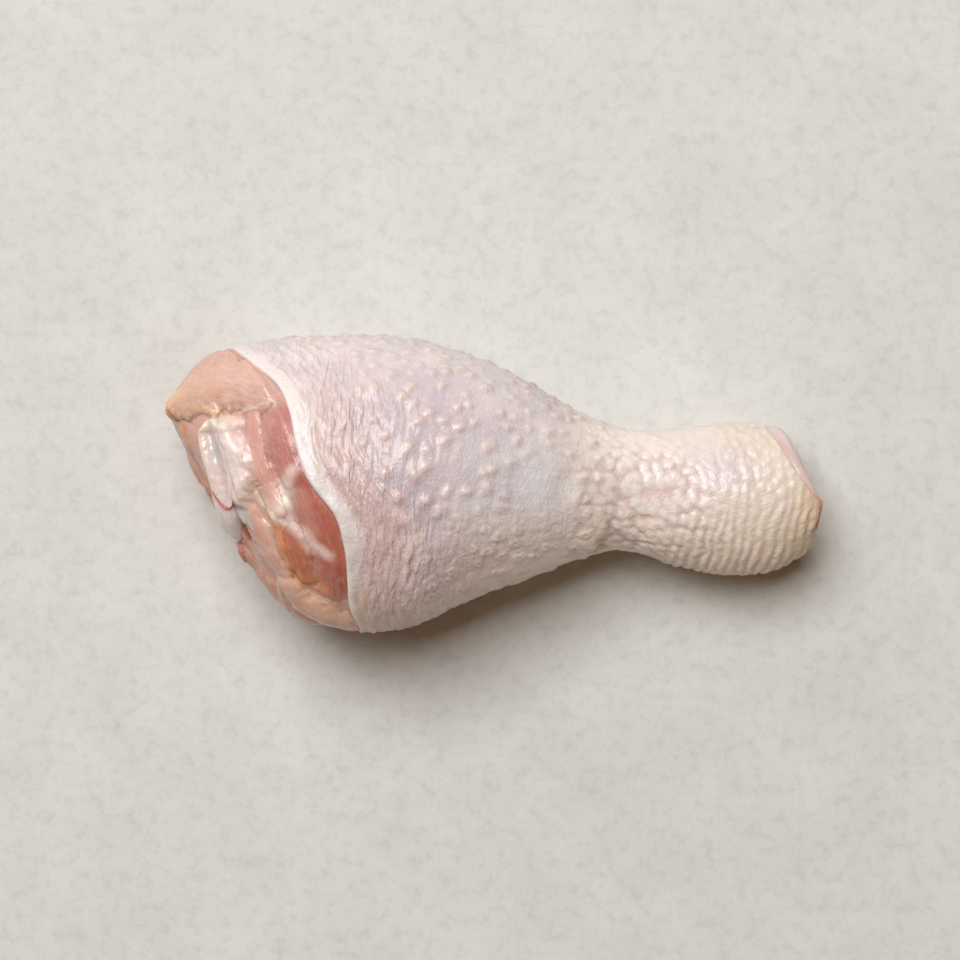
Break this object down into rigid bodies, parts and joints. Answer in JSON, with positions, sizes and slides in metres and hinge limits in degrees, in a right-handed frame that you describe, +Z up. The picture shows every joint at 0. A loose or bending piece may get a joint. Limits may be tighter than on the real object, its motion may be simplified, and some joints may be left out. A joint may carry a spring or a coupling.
{
  "type": "raw chicken drumstick",
  "caption": "Raw chicken drumstick lying on its side: tapered skin sleeve round the meat, bone head showing at the knee cut and at the hock end.",
  "frame": {"origin": "centre of the bounding box in X and Y, at the height of the surface it rests on", "axes": "+X from the knee cut to the hock, +Y towards the front of the leg, +Z up from the surface it lies on"},
  "size_m": [0.1292, 0.0594, 0.0471],
  "materials": {
    "skin": "raw poultry skin, moist, goose-bumped; leather stands in for it",
    "meat": "raw dark-meat muscle, wet; leather stands in for it",
    "bone": "cartilage-covered bone, wet; ceramic stands in for it"
  },
  "bodies": {
    "root": {"skin": "skin", "meat": "meat", "bone": "bone"}
  },
  "joints": []
}
